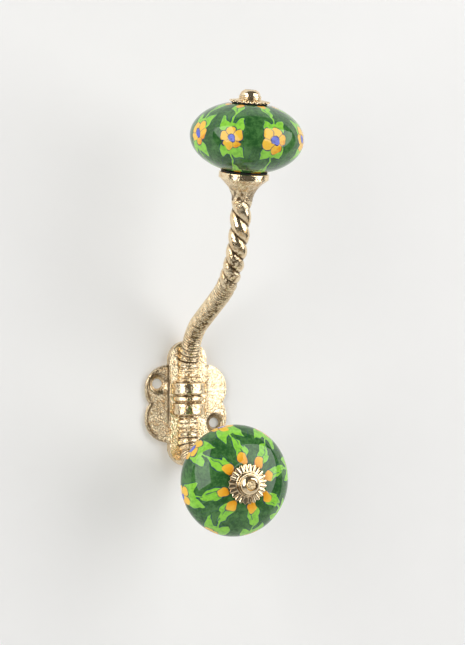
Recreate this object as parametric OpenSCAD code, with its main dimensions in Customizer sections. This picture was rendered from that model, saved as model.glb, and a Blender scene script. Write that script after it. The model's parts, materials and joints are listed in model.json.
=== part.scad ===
// Wall hook with two painted ceramic knobs on a cast, gold-plated bracket.
// The wall is the plane y = 0, the hook stands out of it towards -Y, and +Z is up.
// The origin is the centre of the backplate's back face.
// Both arms lie in the plane x = 0, so a place on one is [out from the wall, up].

/* [Backplate] */
// Distance of the top and bottom lobes' centres from the middle of the plate
end_lobe_up = 16.75; // [14:0.25:20]
// Radius of the top and bottom lobes
end_lobe_r = 7.6; // [6.5:0.1:9]
// Sideways distance of the four side lobes' centres
side_lobe_x = 7.3; // [6:0.1:9]
// Height of the four side lobes' centres above and below the middle
side_lobe_up = 5.65; // [4.5:0.05:7]
// Radius of the four side lobes
side_lobe_r = 9.45; // [8:0.05:11]
// Thickness of the plate at its left and right edges
rim_t = 1.5; // [1:0.1:2.5]
// Thickness of the plate along its raised spine
spine_t = 3.2; // [2.6:0.1:4]
// How far the raised spine reaches past the collar's bands on each side
spine_margin = 0.5; // [0.3:0.1:1]
// Length of the sloping ends of the top and bottom lobes
end_slope = 2.6; // [1:0.1:4]

/* [Wall screw holes] */
// How far sideways each screw hole lies from the centre of its side lobe
screw_past_x = 4.4; // [3.6:0.1:5.2]
// How far up or down each screw hole lies from the centre of its side lobe
screw_past_up = 2.15; // [1:0.05:3]
// Radius of the screw holes
screw_hole_r = 1.9; // [1.5:0.05:2.2]
// Radius of the countersinks where their cone is widest
countersink_r = 4; // [3:0.1:4.2]
// Depth of the straight hole behind each countersink
screw_land = 0.6; // [0.4:0.1:1]

/* [Banded collar] */
// Height of the collar's bottom end
collar_bottom = -5; // [-8:0.1:-3]
// Height of the collar's top end
collar_top = 9; // [7:0.1:12]
// How far the collar stands out from the arms between its bands
collar_step = 0.9; // [0.6:0.1:1.2]
// How far the two broad bands stand out from the arms
band_step = 2.3; // [1.5:0.1:2.6]
// Height of each broad band
band_h = 4.5; // [3:0.1:5]
// How far the narrow ring between the bands stands out from the arms
ring_step = 1.8; // [1.3:0.1:2]
// Height of the narrow ring
ring_h = 1.9; // [1:0.1:2.2]
// Chamfer on the edges of the bands and the ring
band_chamfer = 0.35; // [0.1:0.05:0.6]
// Radius of the tenons that go through the backplate
tenon_r = 1.6; // [1.2:0.1:2]
// Radius of the peened end of each tenon
peen_r = 2.4; // [2.1:0.1:3]
// Depth of the peened end
peen_h = 0.8; // [0.5:0.1:1.2]

/* [Arms] */
// Radius of both arms at the collar
root_r = 4.4; // [3.6:0.1:5.3]
// Radius of the upper arm away from the collar
arm_r = 3.5; // [3:0.1:4]
// Length over which the upper arm narrows from the one radius to the other
root_taper = 16; // [8:1:24]
// Straight rise of the upper arm above the collar
upper_rise = 1; // [0.5:0.1:4]
// Bend radius of the upper arm as it leaves the plate
upper_root_bend = 23.5; // [18:0.5:30]
// Slope of the upper arm's straight run, from upright
upper_slope = 66; // [50:0.5:75]
// Length of the upper arm's straight run
upper_run = 23.7; // [16:0.1:30]
// Bend radius of the upper arm as it turns up to the knob
upper_rise_bend = 35; // [26:1:45]
// Lean of the upper knob's axis, from upright
upper_lean = 12.5; // [5:0.5:20]
// Length of the upper arm's straight end
upper_end = 9.2; // [6:0.1:14]
// Straight drop of the lower arm below the collar
lower_drop = 5.9; // [2:0.1:8]
// Bend radius of the lower arm as it turns level
lower_bend = 14; // [10:0.5:18]
// Length of the lower arm's straight end
lower_end = 14.3; // [8:0.1:20]

/* [Rope twist] */
// Number of strands in the twist at the top of the upper arm
strands = 3; // [2:1:4]
// Length of one full turn of a strand
strand_lead = 17.5; // [14:0.5:28]
// Depth of the hollows between the strands, either side of the arm's radius
strand_depth = 0.35; // [0:0.05:0.5]
// Length of the twisted stretch, measured down from the cup
rope_length = 36; // [20:1:42]

/* [Cups] */
// Height of each cup along its axis
cup_h = 10; // [8.5:0.1:13]
// Radius of each cup's rim
cup_rim_r = 8.9; // [7.5:0.1:10]
// Height of the straight rim
cup_rim_h = 2.1; // [1.5:0.1:3]
// Radius of each cup where it meets the arm
cup_neck_r = 3.8; // [3.5:0.05:4.4]
// Depth of the tapped hole
tapped_depth = 7.5; // [5:0.1:8]

/* [Knobs] */
// Radius of each knob
knob_r = 20; // [16:0.5:24]
// Half the height of a knob between its flat seats
knob_half_h = 11.6; // [9.5:0.1:14]
// Radius of a knob's flat seats
knob_seat_r = 7.8; // [6.5:0.1:9]
// Radial clearance of a knob on its stud
knob_clearance = 0.1; // [0.05:0.01:0.1]
// Gap that lets a knob turn between its gaskets
turn_gap = 0.1; // [0.05:0.05:0.2]

/* [Gaskets, rosettes and nuts] */
// How far the gasket behind each knob stands in from the cup's rim
rear_gasket_inset = 0.7; // [0.3:0.1:1.2]
// Thickness of the gasket behind each knob
rear_gasket_t = 0.5; // [0.5:0.1:1.5]
// How far the gasket in front of each knob stands in from the rosette's rim
front_gasket_inset = 0.8; // [0.6:0.1:1.5]
// Thickness of the gasket in front of each knob
front_gasket_t = 0.5; // [0.3:0.1:1]
// Radius of each fluted rosette
rosette_r = 7.1; // [6.6:0.1:8.5]
// How far the rosette's raised middle reaches past the nut
hub_margin = 0.35; // [0.2:0.05:0.8]
// Thickness of the rosette at its rim
rosette_rim_t = 0.6; // [0.5:0.05:1.2]
// Thickness of the rosette at its middle
rosette_hub_t = 1.15; // [1:0.05:1.6]
// Number of flutes round each rosette
flutes = 24; // [16:1:30]
// Radius of each flute
flute_r = 0.45; // [0.3:0.05:0.6]
// Radius of the dome nut's collar
nut_collar_r = 3.95; // [3.6:0.05:4.2]
// Height of the dome nut's collar
nut_collar_h = 1.2; // [0.8:0.1:2]
// Width of the ledge round the foot of the dome nut's dome
nut_ledge = 0.35; // [0.1:0.05:0.6]
// Height of the dome nut
nut_h = 3.2; // [2.6:0.1:4]
// Radius of the threaded studs
stud_r = 2; // [1.6:0.05:2.4]
// Chamfer on the ends of the studs
stud_chamfer = 0.5; // [0.2:0.1:0.8]

/* [Hidden] */
$fn = 96;

gold = "#d9b477";
glaze = "#2f6b33";
black = "#1c1c1c";
steel = "#a8a8a8";

cut = 1;                 // how far a cutting solid runs past what it cuts
slip = 0.05;             // radial clearance of a stud or tenon in its hole
gasket_slip = 0.1;       // radial clearance of a stud in the gaskets and the rosette
arm_sides = 18;          // facets round the upper arm
bar_gap = 2.6;           // distance between rings on its smooth stretch
rope_gap = 1.2;          // distance between rings on its twisted stretch
curve_steps = 12;        // straight pieces in a short curved outline
knob_steps = 36;         // straight pieces in a knob's outline
flute_sides = 24;        // facets of a flute's cutter
level = 90;              // heading straight out of the wall

root_out = spine_t;
collar_r = root_r + collar_step;
band_r = root_r + band_step;
ring_r = root_r + ring_step;
spine_half_w = band_r + spine_margin;
screw_x = side_lobe_x + screw_past_x;
screw_up = side_lobe_up + screw_past_up;
collar_h = collar_top - collar_bottom;
tenon_up = [for (share = [0.22, 0.78]) collar_bottom + share * collar_h];
band_gap = (collar_h - 2 * band_h - ring_h) / 4;
plate_half_w = side_lobe_x + side_lobe_r;
plate_half_h = end_lobe_up + end_lobe_r;

upper_runs = [[upper_rise, upper_root_bend, upper_slope],
              [upper_run, upper_rise_bend, upper_lean - upper_slope],
              [upper_end, 0, 0]];
upper_start = [root_out, collar_top, 0, 0];
upper_tip = end_of(upper_start, upper_runs);
lower_bend_up = collar_bottom - lower_drop;
lower_tip = [root_out + lower_bend + lower_end, lower_bend_up - lower_bend, level];
rope_start = upper_tip[3] - rope_length;

knob_full_half_h = knob_half_h / sqrt(1 - pow(knob_seat_r / knob_r, 2));
rear_gasket_r = cup_rim_r - rear_gasket_inset;
front_gasket_r = rosette_r - front_gasket_inset;
rosette_hub_r = nut_collar_r + hub_margin;
nut_dome_r = nut_collar_r - nut_ledge;

rear_gasket_up = cup_h;
knob_up = rear_gasket_up + rear_gasket_t + turn_gap + knob_half_h;
front_gasket_up = knob_up + knob_half_h + turn_gap;
rosette_up = front_gasket_up + front_gasket_t;
nut_up = rosette_up + rosette_hub_t;
stud_bottom = cup_h - tapped_depth + slip;
stud_top = nut_up + nut_h + slip;

// A station on the upper arm is [out, up, heading from upright, distance travelled].
function ahead(at, d) =
    [at[0] + d * sin(at[2]), at[1] + d * cos(at[2]), at[2], at[3] + d];

function around(at, r, turn) = let (side = sign(turn))
    [at[0] + side * r * (cos(at[2]) - cos(at[2] + turn)),
     at[1] + side * r * (sin(at[2] + turn) - sin(at[2])),
     at[2] + turn,
     at[3] + r * abs(turn) * PI / 180];

function after(at, run) = around(ahead(at, run[0]), run[1], run[2]);

function end_of(at, runs, i = 0) =
    i == len(runs) ? at : end_of(after(at, runs[i]), runs, i + 1);

// The station at a distance along a list of runs, each [straight length, bend radius, turn].
function station(at, runs, d, i = 0) =
    let (run = runs[i], bend = run[1] * abs(run[2]) * PI / 180)
    d <= run[0] || i == len(runs) - 1 ? ahead(at, d) :
    d <= run[0] + bend ? around(ahead(at, run[0]), run[1], run[2] * (d - run[0]) / bend) :
    station(after(at, run), runs, d - run[0] - bend, i + 1);

// Distances along an arm at which it gets a ring of points.
function ring_places(from, to, gap) = let (n = ceil((to - from) / gap))
    [for (k = [1 : n]) from + (to - from) * k / n];

function bar_r(d) = root_r + (arm_r - root_r) * min(1, d / root_taper);

// How far the twist has grown in at a distance along the upper arm: 0 is a round bar, 1 is rope.
function rope_share(d) = max(0, min(1, (d - rope_start) / (strand_lead / 2)));

function surface_r(d, angle) = bar_r(d)
    + rope_share(d) * strand_depth * cos(strands * (angle - 360 * d / strand_lead));

function ring(at) = [for (k = [0 : arm_sides - 1])
    let (angle = 360 * k / arm_sides, r = surface_r(at[3], angle))
    [r * cos(angle),
     -(at[0] + r * sin(angle) * cos(at[2])),
     at[1] - r * sin(angle) * sin(at[2])]];

// Solid swept along a list of runs, with one ring of points at each place.
module bar(start, runs, places) {
    rings = [for (d = concat([0], places)) ring(station(start, runs, d))];
    last = len(rings) - 1;
    polyhedron(
        points = [for (r = rings, p = r) p],
        faces = concat(
            [[for (k = [0 : arm_sides - 1]) k]],
            [for (i = [0 : last - 1], k = [0 : arm_sides - 1], half = [0, 1])
                let (a = i * arm_sides + k,
                     b = i * arm_sides + (k + 1) % arm_sides,
                     c = a + arm_sides,
                     d = b + arm_sides)
                half == 0 ? [a, c, b] : [b, c, d]],
            [[for (k = [arm_sides - 1 : -1 : 0]) last * arm_sides + k]]));
}

// Keeps only what stands in front of the spine.
module on_spine() {
    reach = 4 * plate_half_h;
    difference() {
        children();
        translate([-reach / 2, -spine_t, -reach / 2]) cube(reach);
    }
}

// Puts children on the tip of an arm, with their +Z along the knob's axis.
module on_tip(tip) {
    translate([0, -tip[0], tip[1]]) rotate([tip[2], 0, 0]) children();
}

module plate_outline() {
    square([2 * side_lobe_x, 2 * side_lobe_up], center = true);
    square([2 * spine_half_w, 2 * end_lobe_up], center = true);
    for (up = [-1, 1]) {
        translate([0, up * end_lobe_up]) circle(end_lobe_r);
        for (side = [-1, 1])
            translate([side * side_lobe_x, up * side_lobe_up]) circle(side_lobe_r);
    }
}

// Wings that slope down from the spine to the left and right edges.
module wing_slopes() {
    mirror([0, 1, 0])
        linear_extrude(2 * (plate_half_h + cut), center = true)
            polygon([[-plate_half_w - cut, 0], [plate_half_w + cut, 0], [plate_half_w + cut, rim_t],
                     [plate_half_w, rim_t], [spine_half_w, spine_t], [-spine_half_w, spine_t],
                     [-plate_half_w, rim_t], [-plate_half_w - cut, rim_t]]);
}

// Slopes at the top and bottom ends of the plate.
module end_slopes() {
    rotate([90, 0, 90])
        linear_extrude(2 * (plate_half_w + cut), center = true)
            polygon([[0, -plate_half_h - cut], [-rim_t, -plate_half_h - cut], [-rim_t, -plate_half_h],
                     [-spine_t, end_slope - plate_half_h], [-spine_t, plate_half_h - end_slope],
                     [-rim_t, plate_half_h], [-rim_t, plate_half_h + cut], [0, plate_half_h + cut]]);
}

module screw_hole() {
    rotate([90, 0, 0]) {
        translate([0, 0, -cut]) cylinder(r = screw_hole_r, h = spine_t + 2 * cut);
        translate([0, 0, screw_land])
            cylinder(r1 = screw_hole_r, r2 = countersink_r, h = countersink_r - screw_hole_r);
        translate([0, 0, screw_land + countersink_r - screw_hole_r])
            cylinder(r = countersink_r, h = spine_t);
    }
}

// A tenon with its peened end at the wall; grow widens it into its own hole.
module tenon(grow) {
    rotate([90, 0, 0]) {
        cylinder(r1 = peen_r + grow, r2 = tenon_r + grow, h = peen_h);
        cylinder(r = tenon_r + grow, h = spine_t + cut);
    }
}

module backplate() {
    color(gold)
    difference() {
        intersection() {
            rotate([90, 0, 0]) linear_extrude(spine_t) plate_outline();
            wing_slopes();
            end_slopes();
        }
        translate([-screw_x, 0, screw_up]) screw_hole();
        translate([screw_x, 0, -screw_up]) screw_hole();
        for (up = tenon_up) translate([0, 0, up]) tenon(slip);
    }
}

// One band round the collar, with chamfered edges.
module band(bottom, h, r) {
    rotate_extrude()
        polygon([[0, bottom], [r - band_chamfer, bottom], [r, bottom + band_chamfer],
                 [r, bottom + h - band_chamfer], [r - band_chamfer, bottom + h], [0, bottom + h]]);
}

module banded_collar() {
    lower_band = collar_bottom + band_gap;
    middle_ring = lower_band + band_h + band_gap;
    upper_band = middle_ring + ring_h + band_gap;
    color(gold) {
        on_spine() translate([0, -root_out, 0]) {
            translate([0, 0, collar_bottom]) cylinder(r = collar_r, h = collar_h);
            band(lower_band, band_h, band_r);
            band(middle_ring, ring_h, ring_r);
            band(upper_band, band_h, band_r);
        }
        for (up = tenon_up) translate([0, 0, up]) tenon(0);
    }
}

module upper_arm() {
    places = concat(ring_places(0, rope_start, bar_gap),
                    ring_places(rope_start, upper_tip[3], rope_gap));
    color(gold) on_spine() bar(upper_start, upper_runs, places);
}

// Straight down from the collar, a quarter bend, then straight out to the cup.
module lower_arm() {
    color(gold) on_spine() translate([0, -root_out, lower_bend_up]) {
        cylinder(r = root_r, h = lower_drop);
        translate([0, -lower_bend, 0]) rotate([0, 90, 0])
            rotate_extrude(angle = 90) translate([lower_bend, 0]) circle(root_r);
        translate([0, -lower_bend, -lower_bend]) rotate([90, 0, 0])
            cylinder(r1 = root_r, r2 = cup_neck_r, h = lower_end);
    }
}

// A flared seat for the knob, with a tapped hole down its middle.
module cup() {
    flare_h = cup_h - cup_rim_h;
    flare = [for (k = [0 : curve_steps]) let (share = k / curve_steps)
        [cup_neck_r + (cup_rim_r - cup_neck_r) * pow(share, 2.2), flare_h * share]];
    color(gold) difference() {
        rotate_extrude() polygon(concat([[0, 0]], flare, [[cup_rim_r, cup_h], [0, cup_h]]));
        translate([0, 0, cup_h - tapped_depth])
            cylinder(r = stud_r + slip, h = tapped_depth + cut);
    }
}

module washer(r, t) {
    color(black) difference() {
        cylinder(r = r, h = t);
        translate([0, 0, -cut]) cylinder(r = stud_r + gasket_slip, h = t + 2 * cut);
    }
}

// An oval knob, flat at both ends, centred on its own middle.
module knob() {
    flat_angle = asin(knob_half_h / knob_full_half_h);
    side = [for (k = [0 : knob_steps]) let (angle = flat_angle * (2 * k / knob_steps - 1))
        [knob_r * cos(angle), knob_full_half_h * sin(angle)]];
    color(glaze) difference() {
        rotate_extrude() polygon(concat([[0, -knob_half_h]], side, [[0, knob_half_h]]));
        translate([0, 0, -knob_half_h - cut])
            cylinder(r = stud_r + knob_clearance, h = 2 * (knob_half_h + cut));
    }
}

// A shallow dish with radial flutes that also notch its rim.
module rosette() {
    slope = atan((rosette_hub_t - rosette_rim_t) / (rosette_r - rosette_hub_r));
    color(gold) difference() {
        rotate_extrude()
            polygon([[stud_r + gasket_slip, 0], [rosette_r, 0], [rosette_r, rosette_rim_t],
                     [rosette_hub_r, rosette_hub_t], [stud_r + gasket_slip, rosette_hub_t]]);
        for (i = [0 : flutes - 1])
            rotate([0, 0, 360 * i / flutes])
                translate([rosette_hub_r, 0, rosette_hub_t + flute_r / 3])
                    rotate([0, 90 + slope, 0])
                        cylinder(r = flute_r, h = rosette_r, $fn = flute_sides);
    }
}

// A nut with a straight collar, a dome, and the stud's end showing at its crown.
module dome_nut() {
    hole_r = stud_r + slip;
    crown_angle = acos(hole_r / nut_dome_r);
    dome_h = (nut_h - nut_collar_h) / sin(crown_angle);
    dome = [for (k = [0 : curve_steps]) let (angle = crown_angle * k / curve_steps)
        [nut_dome_r * cos(angle), nut_collar_h + dome_h * sin(angle)]];
    color(gold) rotate_extrude()
        polygon(concat([[hole_r, 0], [nut_collar_r, 0], [nut_collar_r, nut_collar_h]], dome));
}

module stud() {
    color(steel) {
        translate([0, 0, stud_bottom])
            cylinder(r1 = stud_r - stud_chamfer, r2 = stud_r, h = stud_chamfer);
        translate([0, 0, stud_bottom + stud_chamfer])
            cylinder(r = stud_r, h = stud_top - stud_bottom - 2 * stud_chamfer);
        translate([0, 0, stud_top - stud_chamfer])
            cylinder(r1 = stud_r, r2 = stud_r - stud_chamfer, h = stud_chamfer);
    }
}

module rear_gasket() { translate([0, 0, rear_gasket_up]) washer(rear_gasket_r, rear_gasket_t); }
module front_gasket() { translate([0, 0, front_gasket_up]) washer(front_gasket_r, front_gasket_t); }

backplate();
banded_collar();
upper_arm();
lower_arm();
on_tip(upper_tip) cup();  // upper_cup
on_tip(lower_tip) cup();  // lower_cup
on_tip(upper_tip) rear_gasket();  // upper_rear_gasket
on_tip(lower_tip) rear_gasket();  // lower_rear_gasket
on_tip(upper_tip) translate([0, 0, knob_up]) knob();  // upper_knob
on_tip(lower_tip) translate([0, 0, knob_up]) knob();  // lower_knob
on_tip(upper_tip) front_gasket();  // upper_front_gasket
on_tip(lower_tip) front_gasket();  // lower_front_gasket
on_tip(upper_tip) translate([0, 0, rosette_up]) rosette();  // upper_rosette
on_tip(lower_tip) translate([0, 0, rosette_up]) rosette();  // lower_rosette
on_tip(upper_tip) translate([0, 0, nut_up]) dome_nut();  // upper_dome_nut
on_tip(lower_tip) translate([0, 0, nut_up]) dome_nut();  // lower_dome_nut
on_tip(upper_tip) stud();  // upper_stud
on_tip(lower_tip) stud();  // lower_stud
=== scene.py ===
# %% [markdown]
# # A double wall hook with painted ceramic knobs
# The hook is a gold-finished casting that carries two glazed knobs. The frame that is loaded here
# already holds every part at its true size, so this script only adds what the eye wants: the grain
# of the casting, the twist of the rope, the flutes of the rosettes and the flowers under the glaze.
# Everything is measured from the frame, so the looks follow the parts if a size changes.

# %% Load the frame
import json
import math

import bmesh
import bpy
import numpy as np
from mathutils import Matrix, Vector
from mathutils import noise as cloud
from mathutils.kdtree import KDTree


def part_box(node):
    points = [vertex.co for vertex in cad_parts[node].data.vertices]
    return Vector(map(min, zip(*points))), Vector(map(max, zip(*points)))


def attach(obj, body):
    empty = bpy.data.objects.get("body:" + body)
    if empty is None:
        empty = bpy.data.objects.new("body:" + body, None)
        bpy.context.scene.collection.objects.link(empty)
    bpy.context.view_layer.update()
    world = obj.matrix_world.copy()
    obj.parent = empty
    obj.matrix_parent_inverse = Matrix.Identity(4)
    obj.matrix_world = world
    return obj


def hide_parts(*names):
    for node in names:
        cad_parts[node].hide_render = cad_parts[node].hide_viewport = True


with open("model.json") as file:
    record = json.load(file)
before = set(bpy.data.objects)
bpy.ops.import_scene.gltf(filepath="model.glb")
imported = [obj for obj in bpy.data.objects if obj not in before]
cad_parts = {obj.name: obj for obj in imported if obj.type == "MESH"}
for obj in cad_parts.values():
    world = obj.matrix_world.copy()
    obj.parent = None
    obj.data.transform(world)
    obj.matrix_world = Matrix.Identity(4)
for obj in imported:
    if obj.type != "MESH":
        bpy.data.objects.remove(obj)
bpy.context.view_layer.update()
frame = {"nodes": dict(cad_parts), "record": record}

print("parts:", ", ".join(sorted(frame["nodes"])))

# %% [markdown]
# ## Measuring the parts
# A turned part, such as a nut or a knob, is easiest to think of on its own axis. Each knob's hinge
# says where that axis is, so a matrix built from the hinge carries a point in millimetres, with +Z
# out along the stud, into the frame's metres. Its inverse measures a part along the same axis.

# %% Knob axes and spans
MM = 0.001
TURN = 2 * math.pi
SIDES = ("upper", "lower")
hinges = {joint["child"].split("_")[0]: joint for joint in frame["record"]["behaviour"]["joints"]}


def lean(side):
    """The angle between a knob's axis and upright, in radians."""
    axis = hinges[side]["axis"]
    return math.atan2(-axis[1], axis[2])


def knob_axes(side):
    """Carries millimetres on the knob's own axes into the frame. The knob's middle is the origin."""
    tilt = Matrix.Rotation(lean(side), 4, "X")
    return Matrix.Translation(hinges[side]["pos_m"]) @ tilt @ Matrix.Scale(MM, 4)


def on_axis(node, side):
    """A part's points, each as its distance from the knob's axis and its height along it."""
    back = knob_axes(side).inverted()
    places = [back @ v.co for v in frame["nodes"][node].data.vertices]
    return [(math.hypot(p.x, p.y), p.z) for p in places]


def span(node, side):
    """A turned part's lowest and highest place on the axis and its radius, in millimetres."""
    points = np.array(on_axis(node, side))
    return points[:, 1].min(), points[:, 1].max(), points[:, 0].max()


def bore_of(node, side):
    """The radius of the hole through a turned part."""
    return min(r for r, h in on_axis(node, side))


for side in SIDES:
    low, high, radius = span(side + "_knob", side)
    print(f"{side} knob: {2 * radius:.1f} across, {high - low:.1f} high,",
          f"leans {math.degrees(lean(side)):.1f} degrees")

# %% [markdown]
# ## Formulas as nodes
# Both the shapes and the paint are formulas. Writing each one as a row of Math nodes by hand is slow
# to read, so a small class lets a socket take part in ordinary arithmetic: every sign adds one node.

# %% Arithmetic on sockets


def plug(tree, value, slot):
    """Links a socket or number to an input, or sets the input to a constant."""
    if isinstance(value, Num):
        tree.links.new(value.socket, slot)
    elif isinstance(value, bpy.types.NodeSocket):
        tree.links.new(value, slot)
    else:
        slot.default_value = value


def add(tree, kind, inputs=None, **settings):
    """Adds a node, sets its properties, and plugs its inputs by name or place."""
    node = tree.nodes.new(kind)
    for name, value in settings.items():
        setattr(node, name, value)
    for name, value in (inputs or {}).items():
        plug(tree, value, node.inputs[name])
    return node


class Num:
    """A number in a node tree."""

    def __init__(self, tree, socket):
        self.tree = tree
        self.socket = socket

    def op(self, kind, *others, clamp=False):
        node = add(self.tree, "ShaderNodeMath", operation=kind, use_clamp=clamp)
        for slot, value in zip(node.inputs, (self, *others)):
            plug(self.tree, value, slot)
        return Num(self.tree, node.outputs[0])

    def __add__(self, other):
        return self.op("ADD", other)

    def __sub__(self, other):
        return self.op("SUBTRACT", other)

    def __rsub__(self, other):
        return (self * -1.0) + other

    def __mul__(self, other):
        return self.op("MULTIPLY", other)

    def __truediv__(self, other):
        return self.op("DIVIDE", other)

    def __abs__(self):
        return self.op("ABSOLUTE")

    def step(self, start, end):
        """0 before start, 1 after end, smooth between. start may be the larger."""
        node = add(self.tree, "ShaderNodeMapRange", interpolation_type="SMOOTHSTEP")
        plug(self.tree, self, node.inputs["Value"])
        low, high = (start, end) if start < end else (end, start)
        node.inputs["From Min"].default_value = low
        node.inputs["From Max"].default_value = high
        rise = Num(self.tree, node.outputs["Result"])
        return rise if start < end else 1.0 - rise


def length2(a, b):
    return (a * a + b * b).op("SQRT")


def noise(tree, vector, size, detail=2.0, roughness=0.5):
    """A noise between 0 and 1 whose blobs are about this size, in the vector's own units."""
    inputs = {"Vector": vector, "Scale": 1.0 / size, "Detail": detail, "Roughness": roughness}
    return add(tree, "ShaderNodeTexNoise", inputs)


def new_tree(name, kind, inputs, outputs):
    """A node group with named sockets. Each socket is (name, type) or (name, type, default)."""
    tree = bpy.data.node_groups.new(name, kind)
    for where, sockets in (("INPUT", inputs), ("OUTPUT", outputs)):
        for entry in sockets:
            made = tree.interface.new_socket(entry[0], in_out=where, socket_type="NodeSocket" + entry[1])
            if len(entry) > 2:
                made.default_value = entry[2]
    return tree, tree.nodes.new("NodeGroupInput").outputs, tree.nodes.new("NodeGroupOutput").inputs


print("formula helpers ready")

# %% [markdown]
# ## Camera, light and wall
# The hook hangs on a pale wall and is seen a little from its left, straight on in height. Gold is a
# mirror: it looks like gold only if it has something bright and something dark to reflect. Two big
# soft boxes stand to the left and right, and the room between them stays dim. A third, behind the
# wall, lights the hook's back for anyone who looks at it from there.

# %% Camera
VIEW_AZIMUTH = math.radians(-21.0)
VIEW_DISTANCE = 0.5712
VIEW_TARGET = Vector((0.0121, -0.020, 0.0315))
SENSOR = 36.0
FOCAL_PIXELS = 1500.0
FRAME_PIXELS = 645.0

camera_data = bpy.data.cameras.new("camera")
camera_data.sensor_width = SENSOR
camera_data.lens = SENSOR * FOCAL_PIXELS / FRAME_PIXELS
camera = bpy.data.objects.new("camera", camera_data)
towards_camera = Vector((math.sin(VIEW_AZIMUTH), -math.cos(VIEW_AZIMUTH), 0))
camera.location = VIEW_TARGET + VIEW_DISTANCE * towards_camera
camera.rotation_euler = towards_camera.to_track_quat("Z", "Y").to_euler()
bpy.context.scene.collection.objects.link(camera)
bpy.context.scene.camera = camera
bpy.context.scene.view_settings.view_transform = "Standard"
print(f"camera {VIEW_DISTANCE} m away, lens {camera_data.lens:.1f} mm")

# %% Soft boxes


def soft_box(name, azimuth, elevation, distance, size, power, roll=0.0):
    """An area light that faces the middle of the hook. roll leans it sideways, in degrees."""
    data = bpy.data.lights.new(name, "AREA")
    data.shape = "RECTANGLE"
    data.size, data.size_y = size
    data.energy = power
    light = bpy.data.objects.new(name, data)
    a, e = math.radians(azimuth), math.radians(elevation)
    away = Vector((math.sin(a) * math.cos(e), -math.cos(a) * math.cos(e), math.sin(e)))
    light.location = VIEW_TARGET + distance * away
    lean_over = Matrix.Rotation(math.radians(roll), 4, "Z")
    light.rotation_euler = (away.to_track_quat("Z", "Y").to_matrix().to_4x4() @ lean_over).to_euler()
    bpy.context.scene.collection.objects.link(light)
    return light


BOX_DISTANCE = 1.6
ROOM_LIGHT = (0.12, 0.118, 0.112, 1)

soft_box("left_box", azimuth=-61, elevation=18, distance=BOX_DISTANCE, size=(1.1, 2.0), power=20.5, roll=24)
soft_box("right_box", azimuth=47, elevation=15, distance=BOX_DISTANCE, size=(1.75, 1.8), power=25.5, roll=-22)
soft_box("back_box", azimuth=215, elevation=25, distance=BOX_DISTANCE, size=(1.2, 1.2), power=12)

world = bpy.data.worlds.new("room")
bpy.context.scene.world = world
world.use_nodes = True
world.node_tree.nodes["Background"].inputs["Color"].default_value = ROOM_LIGHT

# %% Wall and floor
WALL_Y = 0.0001
TOUCH = 0.0006
FLOOR_Z = -1.2
STAGE_HALF = 2
WALL_TOP = 1.6
WALL_COLOUR = (0.93, 0.925, 0.915)
FLOOR_COLOUR = (0.72, 0.71, 0.70)
MOTTLE_SIZE = 0.02
DARKER = 0.98


def stage_plane(name, corners, material):
    mesh = bpy.data.meshes.new(name)
    mesh.from_pydata(corners, [], [(0, 1, 2, 3)])
    mesh.materials.append(material)
    plane = bpy.data.objects.new(name, mesh)
    bpy.context.scene.collection.objects.link(plane)


def plain_paint(name, colour, see_through_back):
    """Matt paint. The wall is clear from behind and from closer than the plate's touch, so that the
    hook's back can be looked at and takes light."""
    material = bpy.data.materials.new(name)
    material.use_nodes = True
    tree = material.node_tree
    shader = tree.nodes["Principled BSDF"]
    shader.inputs["Roughness"].default_value = 0.75
    place = add(tree, "ShaderNodeTexCoord").outputs["Object"]
    mottle = noise(tree, place, MOTTLE_SIZE)
    tint = add(tree, "ShaderNodeMix", {"Factor": mottle.outputs["Fac"]}, data_type="RGBA")
    tint.inputs[6].default_value = (*[DARKER * c for c in colour], 1)
    tint.inputs[7].default_value = (*colour, 1)
    tree.links.new(tint.outputs[2], shader.inputs["Base Color"])
    if see_through_back:
        behind = Num(tree, add(tree, "ShaderNodeNewGeometry").outputs["Backfacing"])
        ray = Num(tree, add(tree, "ShaderNodeLightPath").outputs["Ray Length"])
        clear = behind.op("MAXIMUM", ray.op("LESS_THAN", TOUCH))
        mix = add(tree, "ShaderNodeMixShader", {0: clear.socket, 1: shader.outputs[0]})
        tree.links.new(add(tree, "ShaderNodeBsdfTransparent").outputs[0], mix.inputs[2])
        tree.links.new(mix.outputs[0], tree.nodes["Material Output"].inputs["Surface"])
    return material


def stage_corners(y_low, y_high, z_low, z_high):
    """Four corners of a plane as wide as the stage."""
    return [(-STAGE_HALF, y_low, z_low), (STAGE_HALF, y_low, z_low),
            (STAGE_HALF, y_high, z_high), (-STAGE_HALF, y_high, z_high)]


wall_paint = plain_paint("wall_paint", WALL_COLOUR, True)
floor_paint = plain_paint("floor_paint", FLOOR_COLOUR, False)
stage_plane("wall", stage_corners(WALL_Y, WALL_Y, FLOOR_Z, WALL_TOP), wall_paint)
stage_plane("floor", stage_corners(-STAGE_HALF, STAGE_HALF, FLOOR_Z, FLOOR_Z), floor_paint)
print("wall behind the plate, floor", FLOOR_Z, "m below its middle")

# %% [markdown]
# ## Shared finishes
# Two effects belong to every metal part, so each is a group that any material can place with its own
# values. Grain is what the sand mould leaves. Wear is what polishing does: it reaches the crests and
# misses the hollows, which stay dark.

# %% Grain and wear groups


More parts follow.
